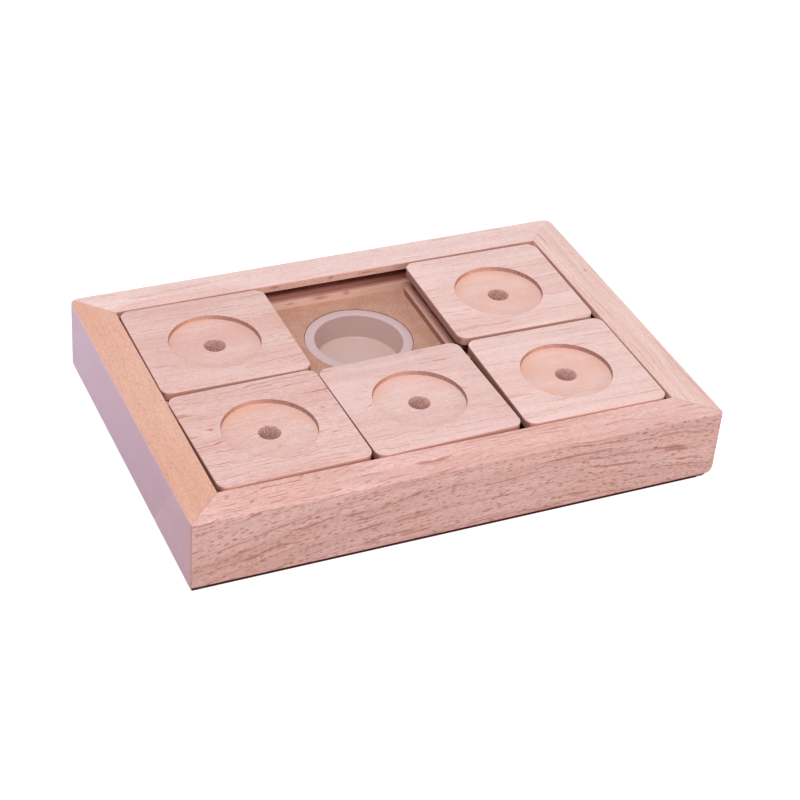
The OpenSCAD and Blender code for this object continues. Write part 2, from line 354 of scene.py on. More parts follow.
def specks(tree, place, length, width, size):
    """Lens-shaped specks in cells of the given length and width, each with its own size and strength."""
    wide = sums(tree, "DIVIDE", 1.0, width)
    cell = add(tree, "CombineXYZ", {0: sums(tree, "DIVIDE", 1.0, length), 1: wide, 2: wide}).outputs[0]
    spread = add(tree, "VectorMath", {0: place, 1: cell}, operation="MULTIPLY").outputs[0]
    cells = add(tree, "TexVoronoi", {"Vector": spread, "Scale": 1.0}).outputs
    luck = add(tree, "SeparateColor", {0: cells["Color"]}).outputs
    reach = times(tree, plus(tree, luck[0], LEAST_SPECK), size)
    speck = less(tree, 1.0, between(tree, sums(tree, "DIVIDE", cells["Distance"], reach), *SPECK_EDGE))
    return times(tree, speck, plus(tree, times(tree, luck[1], 1 - FAINT_SPECK), FAINT_SPECK))


beech, given, done = new_group("beech grain", (
    ("Place", "Vector", None), ("Facing", "Vector", None),
    ("Pale", "Color", tone(233, 196, 188)), ("Warm", "Color", tone(232, 184, 166)),
    ("Dark", "Color", tone(180, 112, 94)), ("Across", "Color", tone(176, 126, 112)),
    ("Warmth", "Float", 0.6), ("Bands", "Float", 0.5), ("Lines", "Float", 0.5), ("Line gap", "Float", 1.9),
    ("Fibres", "Float", 0.5), ("Wave", "Float", 1.0), ("Dashes", "Float", 0.4), ("Flecks", "Float", 0.5),
    ("Fleck length", "Float", 3.2), ("Fleck width", "Float", 1.1), ("Fleck size", "Float", 0.3),
    ("Calm top", "Float", 0.0), ("Slope", "Float", 0.0), ("Arch", "Float", 0.0),
), (("Color", "Color"), ("Roughness", "Float"), ("Height", "Float")))

# How the grain runs: it wanders, ripples, and rises along the rail.
WANDER = 6.0
RING_TILT = (0.85, 0.5)
RING_DRIFT = 7.0
along, aside, upright = (one_of(beech, given["Place"], axis) for axis in "XYZ")
rise = less(beech, times(beech, along, given["Slope"]), times(beech, along, along, given["Arch"]))
wander = less(beech, noise(beech, given["Place"], (0.018, 0.05, 0.05)), 0.5)
ripple = less(beech, noise(beech, given["Place"], (0.13, 0.3, 0.3), offset=(5, 1, 2)), 0.5)
bent = plus(beech, times(beech, wander, WANDER), times(beech, ripple, given["Wave"]))
level = plus(beech, aside, bent)
height = plus(beech, less(beech, upright, rise), bent)
grain = add(beech, "CombineXYZ", {0: along, 1: level, 2: height}).outputs[0]

# The marks along the grain.
ring = plus(beech, times(beech, level, RING_TILT[0]), times(beech, height, RING_TILT[1]))
drift = times(beech, noise(beech, grain, (0.003, 0.11, 0.11), detail=1, offset=(1, 8, 0)), RING_DRIFT)
phase = plus(beech, sums(beech, "DIVIDE", ring, given["Line gap"]), drift)
swing = sums(beech, "SINE", times(beech, phase, math.tau))
broken = between(beech, noise(beech, grain, (0.03, 0.55, 0.55), rough=0.6, offset=(4, 4, 1)), 0.42, 0.66)
lines = times(beech, between(beech, swing, 0.45, 1.0), broken)
bands = between(beech, noise(beech, grain, (0.006, 0.17, 0.17)), 0.36, 0.64)
fibres = between(beech, noise(beech, grain, (0.28, 2.2, 2.2), rough=0.6, offset=(0, 5, 0)), 0.40, 0.66)
patch = between(beech, noise(beech, grain, (0.012, 0.04, 0.04), offset=(3, 2, 1)), 0.35, 0.65)
mottle = noise(beech, given["Place"], (0.8, 0.8, 0.8), detail=3, rough=0.6)
fine = noise(beech, grain, (0.55, 1.7, 1.7), rough=0.7, offset=(2, 6, 3))
dashes = specks(beech, grain, length=2.4, width=0.55, size=0.30)
fleck = specks(beech, grain, given["Fleck length"], given["Fleck width"], given["Fleck size"])
upward = between(beech, one_of(beech, given["Facing"], "Z"), 0.6, 0.95)
fleck = times(beech, fleck, less(beech, 1.0, times(beech, upward, given["Calm top"])))

# The marks laid over each other, dulled on end grain, and an uneven lightness over all.
marks = (("Bands", bands, 0.28), ("Fibres", fibres, 0.34), ("Lines", lines, 1.15), ("Dashes", dashes, 0.6),
         ("Flecks", fleck, 1.0))
END_GRAIN = 0.8
LIGHTNESS = (0.925, 1.05)
SANDED_ROUGH = 0.68
colour = mixed(beech, times(beech, patch, given["Warmth"]), given["Pale"], given["Warm"])
for share, mask, strength in marks:
    colour = mixed(beech, times(beech, mask, given[share], strength), colour, given["Dark"])
cut_across = between(beech, sums(beech, "ABSOLUTE", one_of(beech, given["Facing"], "X")), 0.45, 0.95)
dull = mixed(beech, mottle, given["Across"], colour)
colour = mixed(beech, times(beech, cut_across, END_GRAIN), colour, dull)
uneven = plus(beech, times(beech, mottle, 0.35), times(beech, fine, 0.65))
light = add(beech, "MapRange", {0: uneven, 1: 0.36, 2: 0.64, 3: LIGHTNESS[0], 4: LIGHTNESS[1]}).outputs[0]
light = add(beech, "CombineColor", {0: light, 1: light, 2: light}).outputs[0]
colour = mixed(beech, 1.0, colour, light, "MULTIPLY")
deep = times(beech, plus(beech, lines, plus(beech, fleck, dashes)), 0.4)
beech.links.new(colour, done["Color"])
beech.links.new(less(beech, SANDED_ROUGH, times(beech, fleck, 0.12)), done["Roughness"])
beech.links.new(less(beech, times(beech, mottle, 0.3), deep), done["Height"])


def make_skin(tree, out, colour, rough, height=None, relief=0.3, depth=0.1, **own):
    """The lit skin of a finish, with a relief whose depth is in millimetres and constants of its own."""
    look = {key.replace("_", " "): value for key, value in own.items()}
    if height is not None:
        bump = add(tree, "Bump", {"Height": height, "Strength": relief, "Distance": depth * MM})
        look["Normal"] = bump.outputs[0]
    skin = add(tree, "BsdfPrincipled", {"Base Color": colour, "Roughness": rough, **look})
    tree.links.new(skin.outputs[0], out.inputs["Surface"])
    return skin


def beech_finish(name, turn=0.0, start=(0, 0, 0), **values):
    """Sanded beech whose grain lies along X turned by some degrees, with its own piece of the log."""
    finish, tree, out = new_finish(name)
    spot = add(tree, "TexCoord").outputs
    back = (0, 0, math.radians(-turn))
    to_mm = (1 / MM, 1 / MM, 1 / MM)
    own_log = {"Vector": spot["Object"], "Rotation": back, "Scale": to_mm, "Location": start}
    place = add(tree, "Mapping", own_log).outputs[0]
    look_way = {"Vector": spot["Normal"], "Rotation": back}
    facing = add(tree, "Mapping", look_way, vector_type="VECTOR").outputs[0]
    look = {key.replace("_", " "): value for key, value in values.items()}
    wood = add(tree, "Group", {"Place": place, "Facing": facing, **look}, node_tree=beech)
    skin = make_skin(tree, out, wood.outputs["Color"], wood.outputs["Roughness"], wood.outputs["Height"],
                     Specular_IOR_Level=0.25)
    return finish, tree, wood, skin


def spot_mask(tree, places, reach):
    """Soft spots at places given in millimetres, the same wherever the piece moves."""
    where = add(tree, "TexCoord").outputs["Object"]
    mask = 0.0
    for place, size in places:
        middle = [v * MM for v in place]
        squeeze = [1 / (s * MM) for s in size]
        step = add(tree, "VectorMath", {0: where, 1: middle}, operation="SUBTRACT").outputs[0]
        squeezed = add(tree, "VectorMath", {0: step, 1: squeeze}, operation="MULTIPLY").outputs[0]
        far = add(tree, "VectorMath", {0: squeezed}, operation="LENGTH").outputs["Value"]
        mask = most(tree, mask, less(tree, 1.0, between(tree, far, reach, 1.0)))
    return mask


# Where a cutter passed, beech is duller than its sanded face, mottled by torn grain and scorched in places.
cutter, given, done = new_group("cutter marks", (
    ("Place", "Vector", None), ("Pale", "Color", tone(226, 182, 168)), ("Dark", "Color", tone(136, 92, 80)),
    ("Scorch", "Color", tone(204, 136, 104)), ("Burn", "Float", 0.1), ("Size", "Float", 1.1),
), (("Color", "Color"), ("Roughness", "Float"), ("Height", "Float")))
scaled = add(cutter, "VectorMath", {0: given["Place"], "Scale": given["Size"]}, operation="SCALE").outputs[0]
torn = noise(cutter, scaled, (1, 1, 1.5), detail=3, rough=0.7)
cloud = between(cutter, noise(cutter, given["Place"], (0.10, 0.10, 0.3), offset=(7, 3, 1)), 0.45, 0.62)
colour = mixed(cutter, between(cutter, torn, 0.36, 0.64), given["Pale"], given["Dark"])
colour = mixed(cutter, times(cutter, cloud, given["Burn"]), colour, given["Scorch"])
cutter.links.new(colour, done["Color"])
cutter.links.new(plus(cutter, 0.7, times(cutter, torn, 0.15)), done["Roughness"])
cutter.links.new(torn, done["Height"])


def in_mm(tree):
    """The place on a piece, in millimetres."""
    spot = add(tree, "TexCoord").outputs["Object"]
    return add(tree, "Mapping", {"Vector": spot, "Scale": (1 / MM,) * 3}).outputs[0]


def face_to(tree, axis):
    """How far a face looks along an axis."""
    return one_of(tree, add(tree, "TexCoord").outputs["Normal"], axis)


def cutter_finish(name, pale, dark, burn, relief=0.4, size=1.1):
    """Beech as a cutter leaves it, in the colours given, which some callers set to paint light or shade;
    gives the finish, its tree, the colour of its marks and its skin.
    """
    finish, tree, out = new_finish(name)
    look = {"Place": in_mm(tree), "Pale": pale, "Dark": dark, "Burn": burn, "Size": size}
    marks = add(tree, "Group", look, node_tree=cutter).outputs
    skin = make_skin(tree, out, marks["Color"], marks["Roughness"], marks["Height"], relief,
                     Specular_IOR_Level=0.2)
    return finish, tree, marks["Color"], skin


RAILS = {
    "front": dict(
        turn=180, across=FRAME_W, length=FRAME_L, tongued=True, slot="frame_wood",
        ends=((FRONT_CORNER_R, 0.04), (FRONT_CORNER_R, 0.05)),
        look=dict(turn=0, Pale=tone(236, 195, 188), Warm=tone(231, 181, 169), Dark=tone(168, 98, 78),
                  Flecks=0.78, Calm_top=0.85, Fleck_length=3.4, Fleck_width=1.0, Fleck_size=0.40, Slope=0.05,
                  Arch=0.00075, Bands=0.75, Lines=0.6, Fibres=0.8)),
    "back": dict(
        turn=0, across=FRAME_W, length=FRAME_L, tongued=False, slot="frame_wood",
        ends=((BACK_CORNER_R, 0.04), (BACK_CORNER_R, 0.04)),
        look=dict(turn=0, start=(900, 40, 0), Pale=tone(241, 212, 208), Warm=tone(233, 197, 190), Flecks=0.12,
                  Bands=0.4, Lines=0.25, Dashes=0.3)),
    "left": dict(
        turn=90, across=FRAME_L, length=FRAME_W, tongued=True, slot="side_rail_wood",
        ends=((FRONT_CORNER_R, 0.05), (BACK_CORNER_R, 0.04)),
        look=dict(turn=90, start=(400, 10, 0), Pale=tone(231, 186, 167), Warm=tone(227, 173, 152),
                  Dark=tone(190, 120, 96), Flecks=0.22, Fleck_length=3.4, Fleck_width=0.8, Bands=0.35,
                  Lines=0.14, Fibres=0.7, Dashes=1.0)),
    "right": dict(
        turn=-90, across=FRAME_L, length=FRAME_W, tongued=False, slot="frame_wood",
        ends=((BACK_CORNER_R, 0.04), (FRONT_CORNER_R, 0.20)),
        look=dict(turn=90, start=(200, 70, 0), Pale=tone(237, 206, 198), Warm=tone(233, 198, 187),
                  Flecks=0.25, Fleck_length=3.4, Fleck_width=0.8, Bands=0.6, Lines=0.4, Fibres=0.25,
                  Dashes=0.15)),
}

# A groove is painted dark up under its lip, a painted shade that fades to a paler tone towards the groove's
# bottom.
FADE_Z = (25.7, 28.9)
rail_groove_finish, tree, plain, skin = cutter_finish("beech painted with shade in the rail grooves", tone(104, 54, 46),
                                                     tone(76, 36, 30), burn=0.1)
fade = between(tree, one_of(tree, in_mm(tree), "Z"), *FADE_Z)
tree.links.new(mixed(tree, fade, tone(214, 152, 140), plain), skin.inputs["Base Color"])

# The lip over a groove and the ledge below it. The ledge is painted paler, painted light where it sits low in
# shade, and faces that look up are painted redder and darker, a painted shade against the light from above.
# The back rail's are scorched in places.
SCORCHED = (
    ((-30.6, 72, 35.4), (5.0, 3, 1.3)), ((-1.1, 72, 35.6), (2.2, 3, 1.6)), ((-6.0, 72, 24.6), (7.0, 3, 1.7)),
    ((8.0, 72, 24.8), (3.0, 3, 1.6)), ((18.0, 72, 35.0), (7.0, 3, 0.8)), ((-22.0, 72, 24.0), (4.0, 3, 0.8)),
)
edge_finish, tree, plain, skin = cutter_finish("moulded beech with painted light and shade", tone(244, 202, 190),
                                              tone(226, 176, 158), burn=0.15)
on_lip = between(tree, one_of(tree, in_mm(tree), "Z"), LEDGE_Z + 0.5, LIP_Z - 0.9)
plain = mixed(tree, on_lip, mixed(tree, 0.75, plain, tone(255, 218, 202)), plain)
upward = between(tree, face_to(tree, "Z"), 0.3, 0.9)
plain = mixed(tree, times(tree, upward, 0.85), plain, tone(214, 150, 134))
mask = times(tree, spot_mask(tree, SCORCHED, reach=0.0), 0.6)
tree.links.new(mixed(tree, mask, plain, tone(170, 88, 66)), skin.inputs["Base Color"])

rail_woods = {}
for side, rail in RAILS.items():
    mesh = rail_mesh("rail " + side, rail["length"], rail["tongued"], *rail["ends"])
    outwards = Matrix.Translation((0, rail["across"] / 2 * MM, 0))
    mesh.transform(Matrix.Rotation(math.radians(rail["turn"]), 4, "Z") @ outwards)
    mesh = worn_edge(mesh)
    finish, tree, wood, skin = beech_finish(f"beech of the {side} rail", **rail["look"])
    rail_woods[side] = (tree, wood, skin)
    piece = new_object(f"rail_{side}_beech", mesh, finish, rail_groove_finish, edge_finish)
    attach(piece, "board")
    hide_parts("rail_" + side)

# The outer face of the left rail is painted a lilac grey with hardly any grain, a painted reflection of cool
# light from the left, paler towards the back and with one faint slanting step of tone in it. Elsewhere the
# rail's wood is a little darker towards its front end.
STEP_PLACE = (-42.1, 4.5)
STEP_SLANT = (0.81, 0.59)
STEP_FADE = 0.6
tree, wood, skin = rail_woods["left"]
place = in_mm(tree)
outward = between(tree, times(tree, face_to(tree, "X"), -1.0), 0.55, 0.9)
away = [less(tree, one_of(tree, place, axis), at) for axis, at in zip("YZ", STEP_PLACE)]
step = plus(tree, times(tree, away[0], STEP_SLANT[0]), times(tree, away[1], STEP_SLANT[1]))
step = between(tree, step, -STEP_FADE, STEP_FADE)
cloud = between(tree, noise(tree, place, (0.05, 0.02, 0.09)), 0.35, 0.65)
to_back = between(tree, one_of(tree, place, "Y"), -90.0, 80.0, smooth=False)
painted_lilac_light = mixed(tree, to_back, tone(197, 158, 170), tone(241, 215, 233))
painted_lilac_light = mixed(tree, times(tree, step, 0.4), painted_lilac_light, tone(188, 150, 170))
painted_lilac_light = mixed(tree, times(tree, cloud, 0.3), painted_lilac_light, tone(216, 178, 184))
darker = mixed(tree, 1.0, wood.outputs["Color"], [0.93, 0.90, 0.88, 1], "MULTIPLY")
upper = mixed(tree, to_back, darker, wood.outputs["Color"])
tree.links.new(mixed(tree, times(tree, outward, 0.90), upper, painted_lilac_light), skin.inputs["Base Color"])

# The back rail is a shade warmer towards its left end.
WARM_X = (-0.125, 0.02)
WARMTH = (2.4, 0.1)
tree, wood, skin = rail_woods["back"]
along = one_of(tree, add(tree, "TexCoord").outputs["Object"], "X")
warmth = {0: along, 1: WARM_X[0], 2: WARM_X[1], 3: WARMTH[0], 4: WARMTH[1]}
tree.links.new(add(tree, "MapRange", warmth).outputs[0], wood.inputs["Warmth"])

# A small knot shows in the top of the right rail.
KNOT = ((123.8, 38.7, 36.7), (1.0, 2.2, 1.5))
tree, wood, skin = rail_woods["right"]
mask = times(tree, spot_mask(tree, [KNOT], reach=0.3), 0.7)
tree.links.new(mixed(tree, mask, wood.outputs["Color"], tone(196, 120, 96)), skin.inputs["Base Color"])


# ---- the corner dowels ----
# A plain beech dowel is glued across each mitre, inside the wood.
def dress(node, finish):
    """Give a solid of the frame a finish."""
    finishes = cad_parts[node].data.materials
    finishes.clear()
    finishes.append(finish)


dowel_finish = beech_finish("beech dowel", turn=45, Pale=tone(222, 186, 160), Warm=tone(214, 174, 146))[0]
for corner in ("front_left", "front_right", "back_left", "back_right"):
    dress("dowel_" + corner, dowel_finish)

# ---- the floor ----
# Bare MDF, let into the rebate of the rails and bored for the six cups. Its face is a fine speckle of pressed
# fibres.
pressed, given, done = new_group("pressed fibres", (
    ("Place", "Vector", None), ("Dark", "Color", tone(184, 136, 116)), ("Pale", "Color", tone(210, 164, 146)),
    ("Cloud", "Color", tone(184, 134, 110)), ("Clouds", "Float", 0.55), ("Dot", "Color", tone(224, 186, 172)),
    ("Dots", "Float", 0.25),
), (("Color", "Color"), ("Height", "Float")))
speck = noise(pressed, given["Place"], (1.3, 1.3, 1.3), detail=3, rough=0.7)
cloud = between(pressed, noise(pressed, given["Place"], (0.10, 0.10, 0.10), detail=3), 0.38, 0.64)
dots = noise(pressed, given["Place"], (0.9, 0.9, 0.9), detail=1, offset=(9, 9, 9))
dots = between(pressed, dots, 0.60, 0.70)
colour = mixed(pressed, between(pressed, speck, 0.3, 0.7), given["Dark"], given["Pale"])
colour = mixed(pressed, times(pressed, cloud, given["Clouds"]), colour, given["Cloud"])
colour = mixed(pressed, times(pressed, dots, given["Dots"]), colour, given["Dot"])
pressed.links.new(colour, done["Color"])
pressed.links.new(speck, done["Height"])

finish, tree, out = new_finish("bare fibreboard")
fibres = add(tree, "Group", {"Place": in_mm(tree)}, node_tree=pressed).outputs
make_skin(tree, out, fibres["Color"], 0.8, fibres["Height"], Specular_IOR_Level=0.2)
dress("floor_board", finish)

# ---- the bottom panel and its screws ----
# Thin brown hardboard closes the cup bores from below. Eight zinc-plated screws hold it in the floor.
finish, tree, out = new_finish("hardboard")
look = {"Dark": tone(104, 72, 50), "Pale": tone(134, 96, 68), "Cloud": tone(92, 62, 44), "Clouds": 0.4,
        "Dot": tone(150, 112, 82), "Dots": 0.1}
fibres = add(tree, "Group", {"Place": in_mm(tree), **look}, node_tree=pressed).outputs
rough = plus(tree, 0.35, times(tree, fibres["Height"], 0.3))
make_skin(tree, out, fibres["Color"], rough, fibres["Height"], relief=0.25)
dress("bottom_panel", finish)

finish, tree, out = new_finish("zinc plate")
wear = noise(tree, in_mm(tree), (0.9, 0.9, 0.9), detail=3, rough=0.6)
colour = mixed(tree, wear, tone(196, 197, 200), tone(168, 168, 166))
make_skin(tree, out, colour, plus(tree, 0.2, times(tree, wear, 0.3)), Metallic=1.0)
dress("panel_screws", finish)

# ---- the feet ----
# Four soft black pads under the corners keep the board from sliding. They are cut from sheet, with rounded
# rims.
FOOT_R = 5.0
FOOT_PLACE = (123.05, 83.9)
FOOT_ROUND = 0.4
RIM_STEPS = 4


def turned_mesh(name, profile, middle, sides=96):
    """A closed form turned about an upright axis from its half section, which starts and ends on the axis."""
    bm = bmesh.new()
    rings = []
    for radius, height in profile:
        ring = []
        for k in range(sides if radius else 1):
            turn = math.tau * k / sides
            x = middle[0] + radius * math.cos(turn)
            y = middle[1] + radius * math.sin(turn)
            ring.append(bm.verts.new(Vector((x, y, height)) * MM))
        rings.append(ring)
    for one, two in zip(rings, rings[1:]):
        for k in range(sides):
            if len(one) == 1:
                corners = [one[0], two[k], two[k - 1]]
            elif len(two) == 1:
                corners = [one[k - 1], one[k], two[0]]
            else:
                corners = [one[k - 1], one[k], two[k], two[k - 1]]
            bm.faces.new(corners)
    return finished_mesh(name, bm)


finish, tree, out = new_finish("pad rubber")
pores = noise(tree, in_mm(tree), (3.0, 3.0, 3.0), rough=0.6)
colour = mixed(tree, pores, tone(38, 36, 36), tone(66, 62, 61))
make_skin(tree, out, colour, plus(tree, 0.7, times(tree, pores, 0.2)), pores, relief=0.4)
rim_middle = FOOT_R - FOOT_ROUND
foot_profile = [(0, 0)] + bend((rim_middle, FOOT_ROUND), FOOT_ROUND, 270, 360, RIM_STEPS)
foot_profile += bend((rim_middle, FOOT_T - FOOT_ROUND), FOOT_ROUND, 0, 90, RIM_STEPS) + [(0, FOOT_T)]
for across_name, sx in (("left", -1), ("right", 1)):
    for along_name, sy in (("front", -1), ("back", 1)):
        corner = along_name + "_" + across_name
        mesh = turned_mesh("foot", foot_profile, (sx * FOOT_PLACE[0], sy * FOOT_PLACE[1]), sides=48)
        foot = new_object(f"foot_{corner}_pad", mesh, finish)
        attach(foot, "board")
        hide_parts("foot_" + corner)

# ---- the cups ----
# Six treat cups moulded in pinkish grey plastic. Each hangs by its flat rim in the floor's bore, almost level
# with the floor, and its inside narrows a little downwards.
CELL_X = 74.1
CELL_Y = 72.0
RIM_R = 26.45
RIM_Z = 21.5
RIM_T = 1.5
RIM_EASED = 0.3
RIM_ROUND = 0.4
MOUTH_R = 21.6
BASE_R = 20.75
BASE_Z = 8.9
BASE_ROUND = 0.8
CUP_WALL = 1.4
CUP_ROUND = 1.0
bottom_z = BASE_Z - CUP_WALL
under_rim_z = RIM_Z - RIM_T
lean = math.degrees(math.atan2(MOUTH_R - BASE_R, RIM_Z - BASE_Z))
outer_r = BASE_R + CUP_WALL
cup_profile = [(0, bottom_z)]
cup_profile += bend((outer_r - CUP_ROUND, bottom_z + CUP_ROUND), CUP_ROUND, 270, 360 - lean, RIM_STEPS)
cup_profile += [(MOUTH_R + CUP_WALL, under_rim_z), (RIM_R - RIM_EASED, under_rim_z)]
cup_profile += [(RIM_R, under_rim_z + RIM_EASED)]
cup_profile += bend((RIM_R - RIM_ROUND, RIM_Z - RIM_ROUND), RIM_ROUND, 0, 90, RIM_STEPS)
cup_profile += bend((MOUTH_R + RIM_ROUND, RIM_Z - RIM_ROUND), RIM_ROUND, 90, 180, RIM_STEPS)
cup_profile += bend((BASE_R - BASE_ROUND, BASE_Z + BASE_ROUND), BASE_ROUND, 0, -90, RIM_STEPS)
cup_profile += [(0, BASE_Z)]

finish, tree, out = new_finish("moulded cup plastic")
place = in_mm(tree)
cloud = noise(tree, place, (0.07, 0.07, 0.07))
pores = noise(tree, place, (2.5, 2.5, 2.5), rough=0.6)
# The rim is painted a cooler lilac grey than the pinker rest of the cup: one plastic in two tones, the pink a
# painted reflection of the wood round it.
on_rim = between(tree, one_of(tree, place, "Z"), RIM_Z - 1.2, RIM_Z - 0.3)
colour = mixed(tree, cloud, tone(212, 182, 176), tone(204, 174, 168))
colour = mixed(tree, on_rim, colour, tone(212, 184, 186))
make_skin(tree, out, colour, plus(tree, 0.26, times(tree, pores, 0.12)), pores, relief=0.12, depth=0.05)
for col, across_name in enumerate(("left", "middle", "right")):
    for row, along_name in enumerate(("front", "back")):
        cell = along_name + "_" + across_name
        mesh = turned_mesh("cup", cup_profile, ((col - 1) * CELL_X, (row - 0.5) * CELL_Y))
        cup = new_object(f"cup_{cell}_moulded", mesh, finish)
        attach(cup, "board")
        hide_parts("cup_" + cell)

# ---- the tiles ----
# Five square tiles of the same beech, each from one block: grooves are cut in its left and front sides and
# tongues are left on the other two, and a shallow recess and a small scent hole are bored from above.
TILE_L = 72.2
TILE_W = 69.6
TILE_CORNER = 5.0
NECK_CORNER = 4.9
GROOVE_CORNER = 1.0
GROOVE_NEAR = 3.0
TILE_Z = 22.0
TILE_TOP = 37.3
TILE_FOOT = 0.4
NECK_SET = 0.12
RECESS_R = 21.85
RECESS_Z = 34.8
RECESS_PLACE = (-0.1, -1.0)
RECESS_ROUND = 0.4
RECESS_EASED = 0.15
HOLE_R = 5.1
LEAST_ROUND = 0.05
PER_CORNER = 10
PER_SIDE = 14
ROUND_STEPS = 3
TILE_WOOD, TILE_CUT, TILE_BORED, TILE_GROOVE, TILE_HOLE = range(5)


def outline(low, high, radii, inset=0.0):
    """A rounded rectangle, always of as many points; the radii go round from its right back corner."""
    corners = [(high[0], high[1], 0), (low[0], high[1], 90), (low[0], low[1], 180), (high[0], low[1], 270)]
    arcs = []
    for (x, y, start), radius in zip(corners, radii):
        bent = max(radius - inset, LEAST_ROUND)
        back = max(radius, inset + bent)
        middle = (x - math.copysign(back, x), y - math.copysign(back, y))
        arcs.append(bend(middle, bent, start, start + 90, PER_CORNER))
    points = []
    for one, two in zip(arcs, arcs[1:] + arcs[:1]):
        points += one
        for k in range(1, PER_SIDE):
            points.append(tuple(a + (b - a) * k / PER_SIDE for a, b in zip(one[-1], two[0])))
    return points


def tile_mesh(name):
    """A tile, from loops that go from the foot of its hole outwards, up its sides and back into the hole."""
    low, high = (-TILE_L / 2, -TILE_W / 2), (TILE_L / 2, TILE_W / 2)
    neck_low = (low[0] + GROOVE_DEPTH, low[1] + GROOVE_DEPTH)
    neck_high = (high[0] - NECK_SET, high[1] - NECK_SET)
    tip_low = (neck_low[0] - NECK_SET, neck_low[1] - NECK_SET)
    tip_high = (high[0] + TONGUE_LEN, high[1] + TONGUE_LEN)
    tip_corner = TILE_CORNER + TONGUE_LEN
    plate_corners = (TILE_CORNER, TILE_CORNER, TILE_CORNER, TILE_CORNER)
    neck_corners = (NECK_CORNER, TILE_CORNER, GROOVE_CORNER, TILE_CORNER)
    tip_corners = (tip_corner, tip_corner, GROOVE_CORNER, tip_corner)
    around = outline(low, high, plate_corners)
    angles = [math.atan2(y - RECESS_PLACE[1], x - RECESS_PLACE[0]) for x, y in around]

    def circle(radius, height):
        x, y = RECESS_PLACE
        return [(x + radius * math.cos(a), y + radius * math.sin(a), height) for a in angles]

    def plate(inset, height):
        return [(x, y, height) for x, y in outline(low, high, plate_corners, inset)]

    def neck(height):
        return [(x, y, height) for x, y in outline(neck_low, neck_high, neck_corners)]

    def tip(inset, height):
        return [(x, y, height) for x, y in outline(tip_low, tip_high, tip_corners, inset)]

    tongue_low, tongue_high = TONGUE_Z
    rounding = bend((EASED, EASED), EASED, 180, 270, ROUND_STEPS)
    shoulder = [plate(inset, TILE_TOP - drop) for inset, drop in rounding]
    rounding = bend((RECESS_ROUND, RECESS_ROUND), RECESS_ROUND, 180, 270, ROUND_STEPS)
    recess = [circle(RECESS_R - inset, RECESS_Z + lift) for inset, lift in rounding]
    stretches = (
        (TILE_CUT, [circle(HOLE_R + EASED, TILE_Z), plate(TILE_FOOT, TILE_Z), plate(0, TILE_Z + TILE_FOOT),
                    plate(0, LEDGE_Z - EASED), plate(EASED, LEDGE_Z)]),
        (TILE_GROOVE, [neck(LEDGE_Z), neck(tongue_low), tip(EASED, tongue_low), tip(0, tongue_low + EASED),
                       tip(0, tongue_high - EASED), tip(EASED, tongue_high), neck(tongue_high)]),
        (TILE_CUT, [neck(LIP_Z), plate(EASED, LIP_Z), plate(0, LIP_Z + EASED), shoulder[0]]),
        (TILE_WOOD, shoulder[1:] + [circle(RECESS_R + RECESS_EASED, TILE_TOP)]),
        (TILE_BORED, [circle(RECESS_R, TILE_TOP - RECESS_EASED)] + recess[:2]),
        (TILE_WOOD, recess[2:] + [circle(HOLE_R + EASED, RECESS_Z)]),
        (TILE_HOLE, [circle(HOLE_R, RECESS_Z - EASED), circle(HOLE_R, TILE_Z + EASED)]),
    )
    bm = bmesh.new()
    rings = []
    finishes = []
    for finish, loops in stretches:
        rings += [[bm.verts.new(Vector(p) * MM) for p in loop] for loop in loops]
        finishes += [finish] * len(loops)
    tongue_from = (neck_low[0] + GROOVE_NEAR, neck_low[1] + GROOVE_NEAR)
    for finish, one, two in zip(finishes, rings, rings[1:] + rings[:1]):
        for k in range(len(angles)):
            face = bm.faces.new((one[k - 1], one[k], two[k], two[k - 1]))
            middle = face.calc_center_median() / MM
            on_tongue = middle.x >= tongue_from[0] and middle.y >= tongue_from[1]
            face.material_index = TILE_CUT if finish == TILE_GROOVE and on_tongue else finish
    return finished_mesh(name, bm)


TILES = {
    "front_left": dict(
        cell=(0, 0), slip=(-0.05, -0.1), turn=1.1,
        look=dict(start=(-310, 20, 3), Pale=tone(232, 199, 194), Warm=tone(226, 184, 175), Lines=0.75,
                  Line_gap=1.6, Wave=1.5, Fibres=0.8, Flecks=0.04)),
    "front_middle": dict(
        cell=(1, 0), slip=(-1.3, -0.1), turn=1.5,
        look=dict(start=(120, -60, 9), Pale=tone(231, 198, 193), Warm=tone(224, 183, 175), Lines=0.4,
                  Wave=1.6, Flecks=0.04)),
    "front_right": dict(
        cell=(2, 0), slip=(-0.3, -0.8), turn=-0.4,
        look=dict(start=(480, 35, 15), Pale=tone(238, 207, 202), Warm=tone(232, 194, 187), Lines=0.34,
                  Line_gap=2.6, Fibres=0.35)),
    "back_left": dict(
        cell=(0, 1), slip=(-0.5, -0.5), turn=-0.3,
        look=dict(start=(-720, -25, 21), Pale=tone(230, 196, 191), Warm=tone(223, 181, 172), Lines=0.36,
                  Line_gap=2.1, Wave=2.0)),
    "back_right": dict(
        cell=(2, 1), slip=(-1.1, -1.1), turn=-0.7,
        look=dict(start=(860, 90, 27), Pale=tone(239, 208, 203), Warm=tone(232, 194, 187), Lines=0.34,
                  Line_gap=2.2, Fibres=0.35)),
}
EVERY_TILE = dict(Flecks=0.12, Fleck_length=4.2, Fleck_width=0.8, Fleck_size=0.28, Bands=0.45)
# The grooves in a tile's sides are painted dark, a painted shade under its lip.
tile_groove_finish = cutter_finish("beech painted with shade in the tile grooves", tone(126, 80, 70), tone(92, 54, 46),
                                  burn=0.1)[0]
# The wall of the scent hole is painted far paler than the wood, painted light in the shade of the hole.
hole_finish = cutter_finish("drilled beech painted pale as light", tone(255, 236, 226), tone(212, 134, 118), burn=0.0,
                           relief=0.9, size=1.4)[0]
